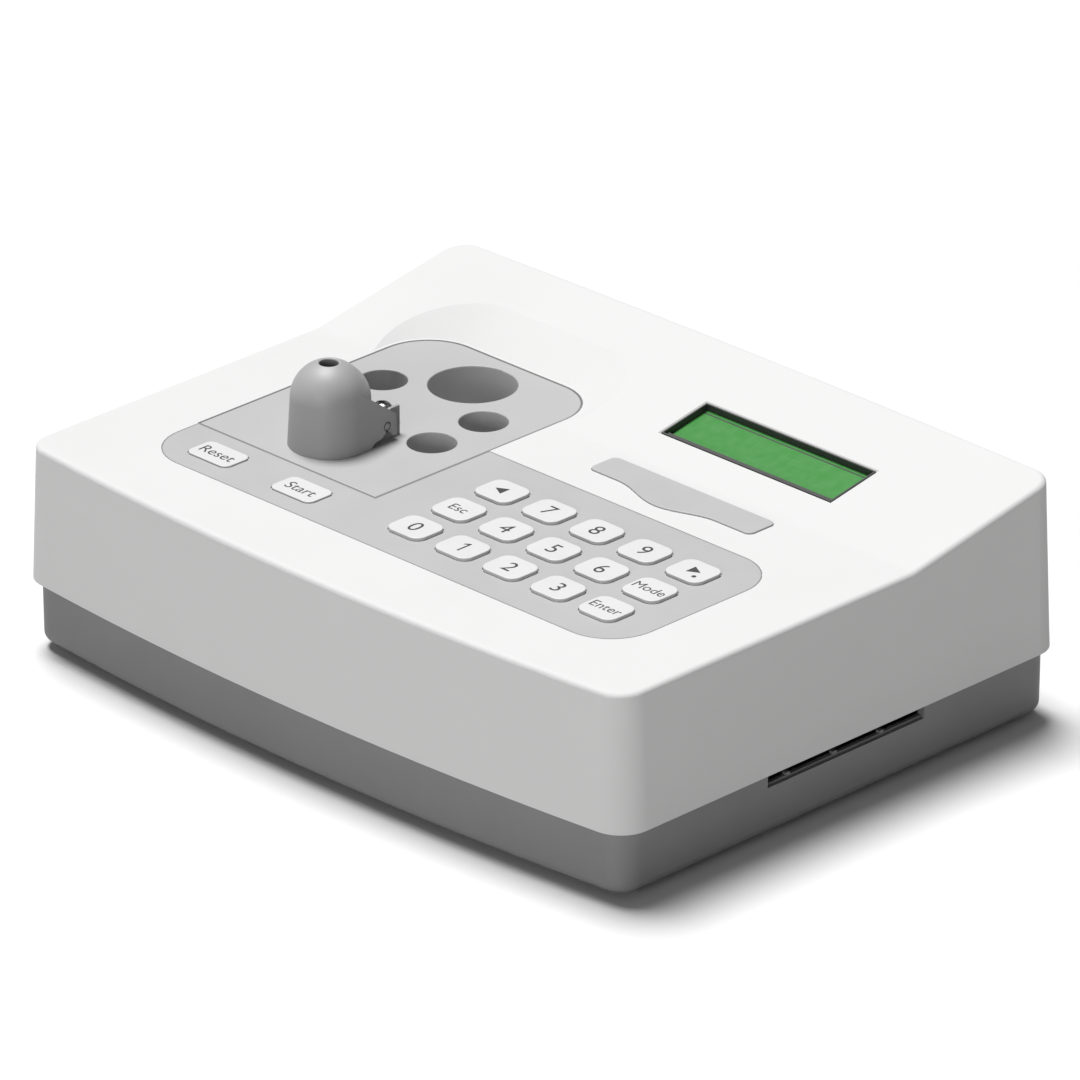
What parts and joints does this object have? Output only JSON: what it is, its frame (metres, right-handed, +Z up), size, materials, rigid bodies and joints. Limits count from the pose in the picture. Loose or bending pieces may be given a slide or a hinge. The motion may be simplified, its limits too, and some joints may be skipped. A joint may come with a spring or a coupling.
{
  "type": "coagulation analyser",
  "caption": "Benchtop coagulation analyser: white case on a grey base, keypad, sloping display, heated well block with a hinged domed light shield.",
  "frame": {"origin": "on the bench surface, under the middle of the case", "axes": "+X to the right of the operator, +Y to the back, +Z up"},
  "size_m": [0.235, 0.1792, 0.0862],
  "materials": {
    "base_plastic": "fine-grained moulded, dark grey",
    "bezel_metal": "black stove enamel",
    "black_gloss": "polished black",
    "black_plastic": "moulded black",
    "block_aluminium": "machined",
    "bracket_plastic": "satin, mid grey",
    "circuit_board": "green solder mask",
    "clear_lens": "clear epoxy",
    "cover_plastic": "fine-grained moulded, white",
    "dark_lens": "dark epoxy",
    "display_glass": "yellow-green liquid crystal panel",
    "foam": "closed-cell foam",
    "foot_rubber": "moulded",
    "heater_film": "polyimide film",
    "ivory_plastic": "moulded ivory",
    "key_plastic": "satin, white",
    "name_plastic": "satin, light grey",
    "panel_film": "satin printed film, light grey",
    "plate_plastic": "satin, light grey",
    "polished_steel": "polished nickel",
    "rear_panel_metal": "powder-coated grey",
    "ribbon_plastic": "flat cable",
    "shield_plastic": "satin, mid grey",
    "steel": "plain zinc-plated"
  },
  "bodies": {
    "case": {"base_shell": "base_plastic", "block_ribbon": "ribbon_plastic", "board_components": "black_plastic", "board_connectors": "ivory_plastic", "board_screws": "steel", "bracket_screw": "polished_steel", "case_screws": "steel", "display_backlight": "ivory_plastic", "display_bezel": "bezel_metal", "display_board": "circuit_board", "display_glass": "display_glass", "display_ribbon": "ribbon_plastic", "heat_sink": "block_aluminium", "heater_foil": "heater_film", "heating_block": "block_aluminium", "hinge_bracket": "bracket_plastic", "hinge_pins": "steel", "insulation_jacket": "foam", "key_board": "circuit_board", "key_switches": "black_plastic", "keypad_panel": "panel_film", "keypad_ribbon": "ribbon_plastic", "light_source": "clear_lens", "main_board": "circuit_board", "nameplate": "name_plastic", "optic_boards": "circuit_board", "photodetector": "dark_lens", "power_inlet": "black_plastic", "rear_panel": "rear_panel_metal", "rubber_feet": "foot_rubber", "serial_port": "polished_steel", "serial_studs": "steel", "stirrer_motor": "steel", "switch_frame": "black_plastic", "temperature_sensor": "steel", "top_cover": "cover_plastic", "voltage_regulator": "black_plastic", "well_liners": "block_aluminium", "well_plate": "plate_plastic"},
    "shield": {"light_shield": "shield_plastic"},
    "stirrer": {"stirrer_rotor": "black_plastic", "stirrer_magnets": "polished_steel"},
    "rocker": {"power_rocker": "black_gloss"},
    "0_key": {"key_0": "key_plastic"},
    "1_key": {"key_1": "key_plastic"},
    "2_key": {"key_2": "key_plastic"},
    "3_key": {"key_3": "key_plastic"},
    "4_key": {"key_4": "key_plastic"},
    "5_key": {"key_5": "key_plastic"},
    "6_key": {"key_6": "key_plastic"},
    "7_key": {"key_7": "key_plastic"},
    "8_key": {"key_8": "key_plastic"},
    "9_key": {"key_9": "key_plastic"},
    "enter_key": {"key_enter": "key_plastic"},
    "escape_key": {"key_escape": "key_plastic"},
    "left_key": {"key_left": "key_plastic"},
    "mode_key": {"key_mode": "key_plastic"},
    "reset_key": {"key_reset": "key_plastic"},
    "right_key": {"key_right": "key_plastic"},
    "start_key": {"key_start": "key_plastic"}
  },
  "joints": [
    {"name": "shield_hinge", "type": "hinge", "parent": "case", "child": "shield", "pos_m": [-0.0564, -0.0116, 0.0668], "axis": [-1, 0, 0], "range_deg": [0, 70]},
    {"name": "stirrer_spin", "type": "hinge", "parent": "case", "child": "stirrer", "pos_m": [-0.0564, -0.023, 0.026], "axis": [0, 0, 1], "continuous": true},
    {"name": "rocker_tilt", "type": "hinge", "parent": "case", "child": "rocker", "pos_m": [-0.032, 0.0827, 0.038], "axis": [-1, 0, 0], "range_deg": [0, 12]},
    {"name": "0_press", "type": "slide", "parent": "case", "child": "0_key", "axis": [0, 0, -1], "range_m": [0, 0.0006], "stiffness_N_per_m": 1200, "springref_m": -0.0003},
    {"name": "1_press", "type": "slide", "parent": "case", "child": "1_key", "axis": [0, 0, -1], "range_m": [0, 0.0006], "stiffness_N_per_m": 1200, "springref_m": -0.0003},
    {"name": "2_press", "type": "slide", "parent": "case", "child": "2_key", "axis": [0, 0, -1], "range_m": [0, 0.0006], "stiffness_N_per_m": 1200, "springref_m": -0.0003},
    {"name": "3_press", "type": "slide", "parent": "case", "child": "3_key", "axis": [0, 0, -1], "range_m": [0, 0.0006], "stiffness_N_per_m": 1200, "springref_m": -0.0003},
    {"name": "4_press", "type": "slide", "parent": "case", "child": "4_key", "axis": [0, 0, -1], "range_m": [0, 0.0006], "stiffness_N_per_m": 1200, "springref_m": -0.0003},
    {"name": "5_press", "type": "slide", "parent": "case", "child": "5_key", "axis": [0, 0, -1], "range_m": [0, 0.0006], "stiffness_N_per_m": 1200, "springref_m": -0.0003},
    {"name": "6_press", "type": "slide", "parent": "case", "child": "6_key", "axis": [0, 0, -1], "range_m": [0, 0.0006], "stiffness_N_per_m": 1200, "springref_m": -0.0003},
    {"name": "7_press", "type": "slide", "parent": "case", "child": "7_key", "axis": [0, 0, -1], "range_m": [0, 0.0006], "stiffness_N_per_m": 1200, "springref_m": -0.0003},
    {"name": "8_press", "type": "slide", "parent": "case", "child": "8_key", "axis": [0, 0, -1], "range_m": [0, 0.0006], "stiffness_N_per_m": 1200, "springref_m": -0.0003},
    {"name": "9_press", "type": "slide", "parent": "case", "child": "9_key", "axis": [0, 0, -1], "range_m": [0, 0.0006], "stiffness_N_per_m": 1200, "springref_m": -0.0003},
    {"name": "enter_press", "type": "slide", "parent": "case", "child": "enter_key", "axis": [0, 0, -1], "range_m": [0, 0.0006], "stiffness_N_per_m": 1200, "springref_m": -0.0003},
    {"name": "escape_press", "type": "slide", "parent": "case", "child": "escape_key", "axis": [0, 0, -1], "range_m": [0, 0.0006], "stiffness_N_per_m": 1200, "springref_m": -0.0003},
    {"name": "left_press", "type": "slide", "parent": "case", "child": "left_key", "axis": [0, 0, -1], "range_m": [0, 0.0006], "stiffness_N_per_m": 1200, "springref_m": -0.0003},
    {"name": "mode_press", "type": "slide", "parent": "case", "child": "mode_key", "axis": [0, 0, -1], "range_m": [0, 0.0006], "stiffness_N_per_m": 1200, "springref_m": -0.0003},
    {"name": "reset_press", "type": "slide", "parent": "case", "child": "reset_key", "axis": [0, 0, -1], "range_m": [0, 0.0003], "stiffness_N_per_m": 1200, "springref_m": -0.0003},
    {"name": "right_press", "type": "slide", "parent": "case", "child": "right_key", "axis": [0, 0, -1], "range_m": [0, 0.0006], "stiffness_N_per_m": 1200, "springref_m": -0.0003},
    {"name": "start_press", "type": "slide", "parent": "case", "child": "start_key", "axis": [0, 0, -1], "range_m": [0, 0.0003], "stiffness_N_per_m": 1200, "springref_m": -0.0003}
  ]
}
